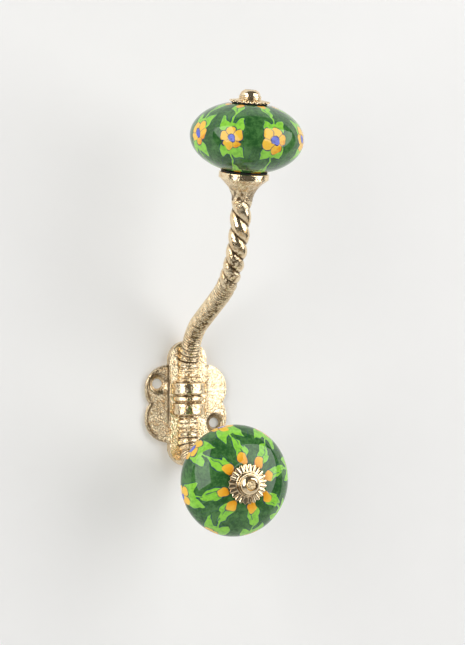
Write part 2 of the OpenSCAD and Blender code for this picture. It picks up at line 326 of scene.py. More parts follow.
def make_grain():
    tree, given, result = new_tree(
        "cast_grain", "ShaderNodeTree",
        [("Vector", "Vector"), ("Size", "Float", 1.0), ("Grain", "Float", 0.5), ("Pitting", "Float", 0.5)],
        [("Height", "Float"), ("Tone", "Float")])
    scaled = add(tree, "ShaderNodeVectorMath", {0: given["Vector"]}, operation="SCALE")
    plug(tree, Num(tree, given["Size"]).op("POWER", -1.0) / MM, scaled.inputs["Scale"])
    place = scaled.outputs[0]
    fine = Num(tree, noise(tree, place, 1.0, 2.5, 0.6).outputs["Fac"])
    broad = Num(tree, noise(tree, place, 3.0, 2.0).outputs["Fac"])
    pits = add(tree, "ShaderNodeTexVoronoi", {"Vector": place, "Scale": 0.9}, feature="F1")
    pit = Num(tree, pits.outputs["Distance"]).step(0.30, 0.08) * broad.step(0.46, 0.60)
    height = fine * given["Grain"] + broad * 0.8 - pit * given["Pitting"]
    plug(tree, height, result["Height"])
    plug(tree, fine * 0.6 + broad * 0.4, result["Tone"])
    return tree


def make_wear():
    tree, given, result = new_tree("polish_wear", "ShaderNodeTree",
                                   [("Vector", "Vector"), ("Spread", "Float", 0.04)],
                                   [("Crest", "Float"), ("Hollow", "Float")])
    point = Num(tree, add(tree, "ShaderNodeNewGeometry").outputs["Pointiness"])
    scaled = add(tree, "ShaderNodeVectorMath", {0: given["Vector"]}, operation="SCALE")
    scaled.inputs["Scale"].default_value = 1 / MM
    break_up = Num(tree, noise(tree, scaled.outputs[0], 1.4).outputs["Fac"])
    bent = (point - 0.5) / given["Spread"] + (break_up - 0.5) * 0.7
    plug(tree, bent.step(0.15, 0.9), result["Crest"])
    plug(tree, bent.step(-0.15, -0.9), result["Hollow"])
    return tree


GRAIN = make_grain()
WEAR = make_wear()
print("groups:", GRAIN.name, WEAR.name)

# %% [markdown]
# ## Gold
# One function mixes every gold: bright metal, a browner tone where the plating is thin, and a dark
# patina in the hollows. The cast parts get coarse grain, and the pressed rosettes and turned nuts get
# almost none. A piece may hold two values for each point: "polish" is 1 where it was buffed
# smooth, and a dark mark is 1 where a groove keeps its dark patina, and on the plate also where
# painted shade is laid.

# %% Gold materials
BRIGHT_GOLD = (0.93, 0.78, 0.53, 1)
WARM_GOLD = (0.70, 0.44, 0.20, 1)
PATINA_AND_SHADE = (0.11, 0.065, 0.03, 1)
BUFFED_AWAY = 0.8
WARM_FROM, WARM_TO = 0.42, 0.68


def colour_mix(tree, share, first, second):
    mix = add(tree, "ShaderNodeMix", {"Factor": share}, data_type="RGBA")
    plug(tree, first, mix.inputs[6])
    plug(tree, second, mix.inputs[7])
    return mix.outputs[2]


def gold(name, size, grain, pitting, relief_mm, rough, patina_and_shade_depth):
    material = bpy.data.materials.new(name)
    material.use_nodes = True
    tree = material.node_tree
    shader = tree.nodes["Principled BSDF"]
    shader.inputs["Metallic"].default_value = 1.0
    place = add(tree, "ShaderNodeTexCoord").outputs["Object"]
    skin = add(tree, "ShaderNodeGroup", node_tree=GRAIN)
    wear = add(tree, "ShaderNodeGroup", node_tree=WEAR)
    for group in (skin, wear):
        tree.links.new(place, group.inputs["Vector"])
    skin.inputs["Size"].default_value = size
    skin.inputs["Grain"].default_value = grain
    skin.inputs["Pitting"].default_value = pitting
    tone = Num(tree, skin.outputs["Tone"])
    polish = Num(tree, add(tree, "ShaderNodeAttribute", attribute_name="polish").outputs["Fac"])
    patina_and_shade = Num(tree, add(tree, "ShaderNodeAttribute", attribute_name="patina_and_shade").outputs["Fac"])
    keep = 1.0 - polish * BUFFED_AWAY
    # The dark mark pulls the colour towards patina: real patina in grooves, and painted shade on the plate.
    hollow = (Num(tree, wear.outputs["Hollow"]) * keep).op("MAXIMUM", patina_and_shade)
    crest = Num(tree, wear.outputs["Crest"])
    base = colour_mix(tree, tone.step(WARM_FROM, WARM_TO), BRIGHT_GOLD, WARM_GOLD)
    worn = colour_mix(tree, crest * 0.7, base, BRIGHT_GOLD)
    plug(tree, colour_mix(tree, hollow * patina_and_shade_depth, worn, PATINA_AND_SHADE), shader.inputs["Base Color"])
    dull = tone.step(0.35, 0.7) * keep * 0.08 + rough
    plug(tree, dull + hollow * 0.2 - crest * 0.04, shader.inputs["Roughness"])
    relief = add(tree, "ShaderNodeBump")
    plug(tree, Num(tree, skin.outputs["Height"]) * keep, relief.inputs["Height"])
    relief.inputs["Strength"].default_value = 1.0
    relief.inputs["Distance"].default_value = relief_mm * MM
    tree.links.new(relief.outputs["Normal"], shader.inputs["Normal"])
    return material


PLATE_GOLD = gold("plate_gold", size=0.7, grain=1.0, pitting=0.9, relief_mm=0.55, rough=0.12, patina_and_shade_depth=0.95)
CAST_GOLD = gold("cast_gold", size=0.9, grain=1.0, pitting=0.7, relief_mm=0.50, rough=0.05, patina_and_shade_depth=0.95)
PRESSED_GOLD = gold("pressed_gold", size=0.9, grain=0.3, pitting=0.0, relief_mm=0.06, rough=0.04,
                    patina_and_shade_depth=0.9)
print("golds:", [m.name for m in bpy.data.materials if "gold" in m.name])

# %% [markdown]
# ## Rubber and steel
# The gaskets show as a dark line and the stud as a small disc in the nut's crown. Neither is large,
# but each still has its own grain: rubber is matt with a powdery bloom, and the peened end of the
# stud is hammered.

# %% Rubber and steel materials


def plain_solid(name, dark, light, rough, size, bump, metallic=0.0):
    material = bpy.data.materials.new(name)
    material.use_nodes = True
    tree = material.node_tree
    shader = tree.nodes["Principled BSDF"]
    shader.inputs["Metallic"].default_value = metallic
    place = add(tree, "ShaderNodeTexCoord").outputs["Object"]
    grain = noise(tree, place, size * MM, 3.0).outputs["Fac"]
    plug(tree, colour_mix(tree, grain, dark, light), shader.inputs["Base Color"])
    plug(tree, Num(tree, grain) * 0.25 + rough, shader.inputs["Roughness"])
    relief = add(tree, "ShaderNodeBump", {"Height": grain})
    relief.inputs["Strength"].default_value = bump
    relief.inputs["Distance"].default_value = 0.1 * MM
    tree.links.new(relief.outputs["Normal"], shader.inputs["Normal"])
    return material


RUBBER = plain_solid("black_rubber", (0.008, 0.008, 0.008, 1), (0.03, 0.03, 0.03, 1),
                     rough=0.55, size=0.3, bump=0.3)
STEEL = plain_solid("stud_metal", (0.50, 0.36, 0.18, 1), (0.80, 0.66, 0.42, 1),
                    rough=0.15, size=0.7, bump=0.9, metallic=1.0)
print("rubber and stud metal ready")

# %% [markdown]
# ## The painted glaze
# A painter works round the knob: eight flowers on its widest line, a pair of leaves above and below
# each, a stem, and a bud at the end of each stem. The paint is a formula in the knob's own
# millimetres, so it stays sharp at any distance. The knob is cut into eight equal sectors, each with
# its own small random shift, turn and size, because no two hand-painted flowers are the same.

# %% Paint colours
FLOWERS = 8
PETALS = 5
DEEP_GREEN = (0.020, 0.095, 0.020, 1)
MID_GREEN = (0.085, 0.235, 0.060, 1)
LIME = (0.31, 0.72, 0.07, 1)
LEAF_SHADE = (0.12, 0.40, 0.04, 1)
YELLOW = (0.98, 0.60, 0.07, 1)
ORANGE = (0.88, 0.34, 0.008, 1)
BLUE = (0.12, 0.17, 0.72, 1)
NAVY = (0.012, 0.022, 0.14, 1)
print(FLOWERS, "flowers of", PETALS, "petals in eight colours of paint")

# %% Paint shapes
EDGE = 0.10
WAVER = 2.2
PETAL_MIDDLE, PETAL_LENGTH, PETAL_WIDTH = 2.35, 1.85, 1.80
PETAL_SQUARE = 2.7
EYE_RADIUS = 1.38
LEAF_START, LEAF_LENGTH, LEAF_WIDTH, LEAF_SPLAY = 2.3, 6.2, 1.85, 0.66
STEM_HALF = 0.34
BUD_PLACE, BUD_HALF_WIDTH, BUD_HALF_LENGTH = 16.8, 1.75, 1.9
HUG_LENGTH, WING_LENGTH = 8.6, 5.0


def leaf(along, across, size, width):
    """How far inside a pointed leaf a place is, in millimetres. Negative is outside."""
    share = (along / size).op("MAXIMUM", 0.0).op("MINIMUM", 1.0)
    half = share.op("SQRT") * (1.0 - share).op("POWER", 0.8) * (2.4 * width)
    return half - abs(across) - (abs(share - 0.5).step(0.495, 0.5) * 0.3)


def inside(distance, soft=EDGE):
    return distance.step(-soft, soft)


def rotated(u, v, angle):
    """The same place, on axes turned by an angle in radians."""
    if isinstance(angle, Num):
        c, s = angle.op("COSINE"), angle.op("SINE")
    else:
        c, s = math.cos(angle), math.sin(angle)
    return v * c + u * s, u * c - v * s


def make_paint(knob_radius):
    tree, given, result = new_tree(
        "painted_flowers", "ShaderNodeTree",
        [("Place", "Vector"), ("Turn", "Float", 0.0), ("Seed", "Float", 0.0), ("Calyx", "Float", 1.0),
         ("Leaf", "Float", 1.0), ("Lift", "Float", 0.0)],
        [("Color", "Color"), ("Paint", "Float")])
    # The brush wavers: the place is shifted a little before anything is drawn.
    waver = noise(tree, given["Place"], 3.0, 0.5)
    shift = add(tree, "ShaderNodeVectorMath", {0: waver.outputs["Color"], 1: (0.5, 0.5, 0.5)},
                operation="SUBTRACT")
    shifted = add(tree, "ShaderNodeVectorMath", operation="MULTIPLY_ADD")
    tree.links.new(shift.outputs[0], shifted.inputs[0])
    shifted.inputs[1].default_value = (WAVER, WAVER, WAVER)
    tree.links.new(given["Place"], shifted.inputs[2])
    split = add(tree, "ShaderNodeSeparateXYZ", {0: shifted.outputs[0]})
    x, y, z = (Num(tree, s) for s in split.outputs)

    # Eight sectors, with random numbers for each.
    ring = length2(x, y)
    sector = y.op("ARCTAN2", x) * (FLOWERS / TURN) - given["Turn"]
    index = (sector + 0.5).op("FLOOR")
    wrapped = index.op("FLOORED_MODULO", float(FLOWERS))
    hemisphere = z.op("SIGN")

    def dice(offset):
        random = add(tree, "ShaderNodeTexWhiteNoise", noise_dimensions="1D")
        plug(tree, wrapped * 3.71 + offset + given["Seed"], random.inputs["W"])
        parts = add(tree, "ShaderNodeSeparateColor", {0: random.outputs["Color"]})
        return [Num(tree, s) - 0.5 for s in parts.outputs]

    flower_dice = dice(1.3)
    pole_dice = dice(hemisphere * 17.0 + 5.1)

    # u runs round the knob and v from the widest line towards the pole, both in millimetres.
    drop = knob_radius - ring
    pole_v = length2(z, drop)
    around = (sector - index) * (TURN / FLOWERS)
    u = (around - flower_dice[0] * 0.16) * ring
    v = pole_v * hemisphere - flower_dice[1] * 0.8 - given["Lift"]
    pole_u = (around - pole_dice[0] * 0.16) * ring
    leaf_u = u + (pole_u - u) * pole_v.step(3.0, 12.0)
    leaf_v = pole_v - hemisphere * given["Lift"]
    leaf_dice = dice(hemisphere * 17.0 + leaf_u.op("SIGN") * 2.9 + 9.7)

    # The flower: five squarish petals round a blue eye.
    grow = flower_dice[2] * 0.2 + 1.0
    radius = length2(u, v) / grow
    angle = (v.op("ARCTAN2", u) + flower_dice[0] * 9.0) * (PETALS / TURN)
    petal_index = (angle + 0.5).op("FLOOR")
    fold = (angle - petal_index) * (TURN / PETALS)
    petal_x = abs((radius * fold.op("COSINE") - PETAL_MIDDLE) / PETAL_LENGTH)
    petal_y = abs(radius * fold.op("SINE") / PETAL_WIDTH)
    square = petal_x.op("POWER", PETAL_SQUARE) + petal_y.op("POWER", PETAL_SQUARE)
    petal = (1.0 - square.op("POWER", 1 / PETAL_SQUARE)) * PETAL_WIDTH
    gap = radius * (0.5 * TURN / PETALS - abs(fold)).op("SINE")
    eye = EYE_RADIUS - radius

    # A pair of broad leaves by the flower, joined at their base like a crown.
    size = Num(tree, given["Leaf"])
    along, across = rotated((abs(leaf_u) - 0.25) / size, (leaf_v - LEAF_START) / size, LEAF_SPLAY)
    leaf_along = along - leaf_dice[0] * 0.9
    leaf_across = across + along * along * 0.03 - 0.65 - leaf_dice[1] * 0.5
    crown = 1.5 - length2(leaf_u / 1.35, leaf_v / size - 4.3)
    blade = leaf(leaf_along, leaf_across, leaf_dice[2] * 1.2 + LEAF_LENGTH, LEAF_WIDTH)
    big_leaf = blade.op("MAXIMUM", crown) * size

    # The stem, the leaves that hold the bud, and the bud.
    bend = (pole_v * 0.5 + pole_dice[1] * 3.0).op("SINE") * 0.5
    stem_end = (pole_v - 3.0).op("MINIMUM", 12.0 - pole_v)
    stem = (STEM_HALF - abs(leaf_u + bend)).op("MINIMUM", stem_end)
    size = Num(tree, given["Calyx"])
    bud_v = pole_v - BUD_PLACE + size - pole_dice[2] * 0.7
    hug_along, hug_across = rotated((pole_u + bend * 0.5) / size, (0.9 - bud_v) / size, 0.07)
    hug = leaf(hug_along, hug_across, HUG_LENGTH, 1.95)
    wing_u = (pole_dice[0].op("SIGN") * pole_u) / size
    wing_along, wing_across = rotated(wing_u, (0.6 - bud_v) / size, 0.5)
    wing = leaf(wing_along, wing_across, WING_LENGTH, 1.2)
    calyx = hug.op("MAXIMUM", wing)
    bud = (1.0 - length2(pole_u / size / BUD_HALF_WIDTH, bud_v / size / BUD_HALF_LENGTH)) * 1.7

    # Underglaze green is sponged on in two tones.
    sponge = Num(tree, noise(tree, given["Place"], 1.3, 4.0, 0.7).outputs["Fac"])
    wash = Num(tree, noise(tree, given["Place"], 7.0, 2.0).outputs["Fac"])
    tone = (sponge * 0.55 + wash * 0.45).step(0.40, 0.64)
    colour = colour_mix(tree, tone, DEEP_GREEN, MID_GREEN)

    # Paint is laid in the painter's order, each stroke over the last, with a broken blue outline.
    stroke = Num(tree, noise(tree, given["Place"], 1.3, 3.0, 0.6).outputs["Fac"])
    broken = Num(tree, noise(tree, given["Place"], 2.6, 1.0).outputs["Fac"]).step(0.36, 0.50)
    green = colour_mix(tree, stroke.step(0.40, 0.72) * 0.6, LIME, LEAF_SHADE)
    leaves = big_leaf.op("MAXIMUM", calyx).op("MAXIMUM", stem)
    colour = colour_mix(tree, inside(leaves + 0.34) * broken * 0.75, colour, NAVY)
    colour = colour_mix(tree, inside(leaves), colour, green)
    vein = inside(0.16 - abs(hug_across + 0.5)) * inside(hug) * broken
    colour = colour_mix(tree, vein * 0.8, colour, NAVY)

    # Petals are loaded with more orange on one side, as a brush leaves them.
    load = (u - v) / 5.5 + (stroke - 0.5) * 1.6
    petal_colour = colour_mix(tree, load.step(0.25, 1.1), YELLOW, ORANGE)
    colour = colour_mix(tree, inside(petal + 0.26) * broken, colour, NAVY)
    colour = colour_mix(tree, inside(petal), colour, petal_colour)
    crease = inside(0.13 - gap, 0.08) * inside(petal) * inside(radius - 1.2)
    colour = colour_mix(tree, crease * 0.65, colour, NAVY)
    colour = colour_mix(tree, inside(eye + 0.26) * broken, colour, NAVY)
    blue = colour_mix(tree, (stroke.step(0.45, 0.7)) * 0.6, BLUE, NAVY)
    colour = colour_mix(tree, inside(eye), colour, blue)

    bud_warm = (stroke * 0.9 + bud_v * -0.2).op("MAXIMUM", 0.0).op("MINIMUM", 1.0)
    bud_colour = colour_mix(tree, bud_warm, ORANGE, YELLOW)
    colour = colour_mix(tree, inside(bud + 0.24) * broken * 0.8, colour, NAVY)
    colour = colour_mix(tree, inside(bud), colour, bud_colour)
    plug(tree, colour, result["Color"])
    plug(tree, inside(leaves).op("MAXIMUM", inside(petal)).op("MAXIMUM", inside(bud)), result["Paint"])
    return tree


PAINT = make_paint(span("upper_knob", "upper")[2])
print("paint group:", len(PAINT.nodes), "nodes")

# %% Glazed knob materials


def glaze(name, side, turn, seed, calyx, leaf_size, lift):
    """The paint under a clear gloss. turn is where the first flower is, in degrees."""
    material = bpy.data.materials.new(name)
    material.use_nodes = True
    tree = material.node_tree
    shader = tree.nodes["Principled BSDF"]
    place = add(tree, "ShaderNodeTexCoord").outputs["Object"]
    local = add(tree, "ShaderNodeMapping", {"Vector": place}, vector_type="TEXTURE")
    local.inputs["Location"].default_value = hinges[side]["pos_m"]
    local.inputs["Rotation"].default_value = (lean(side), 0, 0)
    local.inputs["Scale"].default_value = (MM, MM, MM)
    paint = add(tree, "ShaderNodeGroup", node_tree=PAINT)
    tree.links.new(local.outputs[0], paint.inputs["Place"])
    paint.inputs["Turn"].default_value = turn * FLOWERS / 360
    paint.inputs["Seed"].default_value = seed
    paint.inputs["Calyx"].default_value = calyx
    paint.inputs["Leaf"].default_value = leaf_size
    paint.inputs["Lift"].default_value = lift
    tree.links.new(paint.outputs["Color"], shader.inputs["Base Color"])
    ripple = Num(tree, noise(tree, local.outputs[0], 3.5, 2.0).outputs["Fac"])
    relief = add(tree, "ShaderNodeBump")
    plug(tree, ripple + Num(tree, paint.outputs["Paint"]) * 0.12, relief.inputs["Height"])
    relief.inputs["Strength"].default_value = 0.25
    relief.inputs["Distance"].default_value = 0.2 * MM
    tree.links.new(relief.outputs["Normal"], shader.inputs["Normal"])
    plug(tree, ripple * 0.1 + 0.22, shader.inputs["Roughness"])
    shader.inputs["Specular IOR Level"].default_value = 0.0
    shader.inputs["Coat Weight"].default_value = 1.0
    shader.inputs["Coat Roughness"].default_value = 0.03
    return material


GLAZE = {"upper": glaze("upper_glaze", "upper", turn=7.5, seed=3.0, calyx=0.8, leaf_size=1.0, lift=1.0),
         "lower": glaze("lower_glaze", "lower", turn=12.0, seed=8.0, calyx=1.0, leaf_size=1.12, lift=0.0)}
print("glazes:", [m.name for m in GLAZE.values()])

# %% [markdown]
# ## Turned pieces
# Knobs, nuts, gaskets, rosettes and cups are all round, so each is an outline turned about the stud,
# as on a lathe. Corners are never truly sharp, so a helper rounds each one first. Every outline is a
# closed loop that goes round the bore, so the turned mesh is closed with no poles.

# %% Lathe helpers


def rounded(corners, steps=6):
    """An outline from (radius, height, fillet) corners, with an arc in place of each corner."""
    outline = []
    for i, (r, h, fillet) in enumerate(corners):
        here = Vector((r, h))
        if fillet == 0:
            outline.append(tuple(here))
            continue
        before = Vector(corners[i - 1][:2]) - here
        after = Vector(corners[(i + 1) % len(corners)][:2]) - here
        half = before.angle(after) / 2
        reach = min(fillet / math.tan(half), 0.49 * before.length, 0.49 * after.length)
        start, end = here + before.normalized() * reach, here + after.normalized() * reach
        for k in range(steps + 1):
            t = k / steps
            outline.append(tuple((1 - t) ** 2 * start + 2 * t * (1 - t) * here + t * t * end))
    return outline


def ramp(value, start, end):
    """0 before start, 1 after end, smooth between."""
    share = min(1.0, max(0.0, (value - start) / (end - start)))
    return share * share * (3 - 2 * share)


def blot(place, size):
    """A soft random value from -1 to 1 whose blobs are about size millimetres across."""
    return cloud.noise(place / MM / size)


def finer(outline, gap):
    """The same closed outline, with extra points so that no two are further apart than gap."""
    dense = []
    for a, b in zip(outline, outline[1:] + outline[:1]):
        a, b = Vector(a), Vector(b)
        count = max(1, math.ceil((b - a).length / gap))
        dense += [tuple(a.lerp(b, k / count)) for k in range(count)]
    return dense


def keep_mesh(name, mesh, material):
    """Makes an object of a mesh, smooth but for its sharp edges, and gives it its material."""
    mesh.materials.clear()
    mesh.materials.append(material)
    mesh.polygons.foreach_set("use_smooth", [True] * len(mesh.polygons))
    mesh.set_sharp_from_angle(angle=math.radians(50))
    piece = bpy.data.objects.new(name, mesh)
    bpy.context.scene.collection.objects.link(piece)
    return piece


def lathe(name, side, outline, material, turns=144):
    """Turns a closed outline of (radius, height) round a knob's axis."""
    rows = len(outline)
    verts = [(r * math.cos(TURN * k / turns), r * math.sin(TURN * k / turns), h)
             for k in range(turns) for r, h in outline]
    faces = [(k * rows + i, (k + 1) % turns * rows + i, (k + 1) % turns * rows + (i + 1) % rows,
              k * rows + (i + 1) % rows) for k in range(turns) for i in range(rows)]
    mesh = bpy.data.meshes.new(name)
    mesh.from_pydata(verts, [], faces)
    mesh.transform(knob_axes(side))
    work = bmesh.new()
    work.from_mesh(mesh)
    bmesh.ops.recalc_face_normals(work, faces=work.faces)
    work.to_mesh(mesh)
    work.free()
    return keep_mesh(name, mesh, material)


def finish(piece, body, slot, *nodes):
    """Hangs a piece on the body it rides and hides the parts it stands for. slot, its finish, is not used."""
    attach(piece, body)
    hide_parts(*nodes)
    triangles = sum(len(p.vertices) - 2 for p in piece.data.polygons)
    print(f"{piece.name}: {triangles} triangles")


# %% [markdown]
# ## Shaping with geometry nodes
# Three trees do the repeating work. One gives a casting its uneven skin, one presses flutes into a
# rosette, and one sweeps a bar along a path and twists it into rope. Each has named inputs, and the
# result is kept as a plain mesh.

# %% Running a tree


def grown(piece, tree, **values):
    """Runs a geometry tree on a piece and keeps the result as its plain mesh."""
    modifier = piece.modifiers.new(tree.name, "NODES")
    modifier.node_group = tree
    for item in tree.interface.items_tree:
        if item.in_out == "INPUT" and item.name in values:
            modifier[item.identifier] = values[item.name]
    seen = piece.evaluated_get(bpy.context.evaluated_depsgraph_get())
    mesh = bpy.data.meshes.new_from_object(seen)
    piece.modifiers.remove(modifier)
    piece.data = mesh
    return piece


def end_tree(tree, geometry, material, result):
    """Every tree ends the same way: real geometry with its material on it."""
    real = add(tree, "GeometryNodeRealizeInstances", {0: geometry})
    final = add(tree, "GeometryNodeSetMaterial", {"Geometry": real.outputs[0], "Material": material})
    tree.links.new(final.outputs[0], result)


print("a tree can now be run on any piece")

# %% The cast skin tree


def make_skin():
    tree, given, result = new_tree(
        "cast_skin", "GeometryNodeTree",
        [("Geometry", "Geometry"), ("Broad Depth", "Float", 0.1), ("Broad Size", "Float", 3.0),
         ("Fine Depth", "Float", 0.03), ("Fine Size", "Float", 0.8), ("Swell", "Float", 0.0),
         ("Material", "Material")],
        [("Geometry", "Geometry")])
    position = add(tree, "GeometryNodeInputPosition").outputs[0]
    scaled = add(tree, "ShaderNodeVectorMath", {0: position}, operation="SCALE")
    scaled.inputs["Scale"].default_value = 1 / MM
    height = None
    for layer in ("Broad", "Fine"):
        blobs = add(tree, "ShaderNodeTexNoise", {"Vector": scaled.outputs[0], "Detail": 2.0})
        size = Num(tree, given[layer + " Size"]).op("POWER", -1.0)
        plug(tree, size, blobs.inputs["Scale"])
        bump = (Num(tree, blobs.outputs["Fac"]) - 0.55) * given[layer + " Depth"]
        height = bump if height is None else height + bump
    # The back lies flat on the wall, so the skin fades out there.
    split = add(tree, "ShaderNodeSeparateXYZ", {0: position}).outputs
    out = Num(tree, split[1]) * (-1 / MM)
    polish = add(tree, "GeometryNodeInputNamedAttribute", {"Name": "polish"}).outputs["Attribute"]
    height = height * out.step(0.1, 0.8) * (1.0 - Num(tree, polish) * 0.9) * MM
    offset = add(tree, "ShaderNodeVectorMath", {0: add(tree, "GeometryNodeInputNormal").outputs[0]},
                 operation="SCALE")
    plug(tree, height, offset.inputs["Scale"])
    # Swell raises the front face towards the middle, so that wide wings are a little domed.
    beside = abs(Num(tree, split[0]) / MM)
    rise = beside.step(16.0, 5.0) * out.step(0.6, 1.4) * given["Swell"]
    forward = add(tree, "ShaderNodeCombineXYZ")
    plug(tree, rise * -MM, forward.inputs[1])
    both = add(tree, "ShaderNodeVectorMath", {0: offset.outputs[0], 1: forward.outputs[0]}, operation="ADD")
    moved = add(tree, "GeometryNodeSetPosition",
                {"Geometry": given["Geometry"], "Offset": both.outputs[0]})
    end_tree(tree, moved.outputs[0], given["Material"], result["Geometry"])
    return tree


SKIN = make_skin()
print("skin tree:", len(SKIN.nodes), "nodes")

# %% The flute tree


def make_flutes():
    tree, given, result = new_tree(
        "pressed_flutes", "GeometryNodeTree",
        [("Geometry", "Geometry"), ("Count", "Float", 24.0), ("Depth", "Float", 0.3),
         ("Notch", "Float", 0.2), ("Inner Radius", "Float", 4.0), ("Outer Radius", "Float", 7.0),
         ("Material", "Material")],
        [("Geometry", "Geometry")])
    position = add(tree, "GeometryNodeInputPosition").outputs[0]
    split = add(tree, "ShaderNodeSeparateXYZ", {0: position}).outputs
    x, y, z = (Num(tree, s) / MM for s in split)
    radius = length2(x, y)
    wave = (y.op("ARCTAN2", x) * given["Count"]).op("COSINE") * 0.5 + 0.5
    valley = wave.op("POWER", 1.6)
    share = (radius - given["Inner Radius"]) / (Num(tree, given["Outer Radius"]) - given["Inner Radius"])
    reach = share.op("MAXIMUM", 0.0).op("MINIMUM", 1.0).op("POWER", 0.6)
    sink = valley * reach * given["Depth"] * z.step(0.1, 0.3)
    rim = 1.0 - (valley * share.step(0.75, 1.0) * given["Notch"]) / radius
    joined = add(tree, "ShaderNodeCombineXYZ")
    for value, slot in zip((x * rim, y * rim, z - sink), joined.inputs):
        plug(tree, value * MM, slot)
    moved = add(tree, "GeometryNodeSetPosition",
                {"Geometry": given["Geometry"], "Position": joined.outputs[0]})
    end_tree(tree, moved.outputs[0], given["Material"], result["Geometry"])
    return tree


FLUTES = make_flutes()
print("flute tree:", len(FLUTES.nodes), "nodes")

# %% The bar tree
CREST_SHAPE, CREST_MEAN = 0.62, 0.75
RING_SHAPE, RING_MEAN = 0.8, 0.75
LIP_SHAPE, LIP_MEAN = 0.5, 0.8
ROOT_END, LIPS_START = (17.0, 12.0), (4.5, 7.0)
HAMMER_SIZE = 2.6
CLOSE_GAP = 0.002


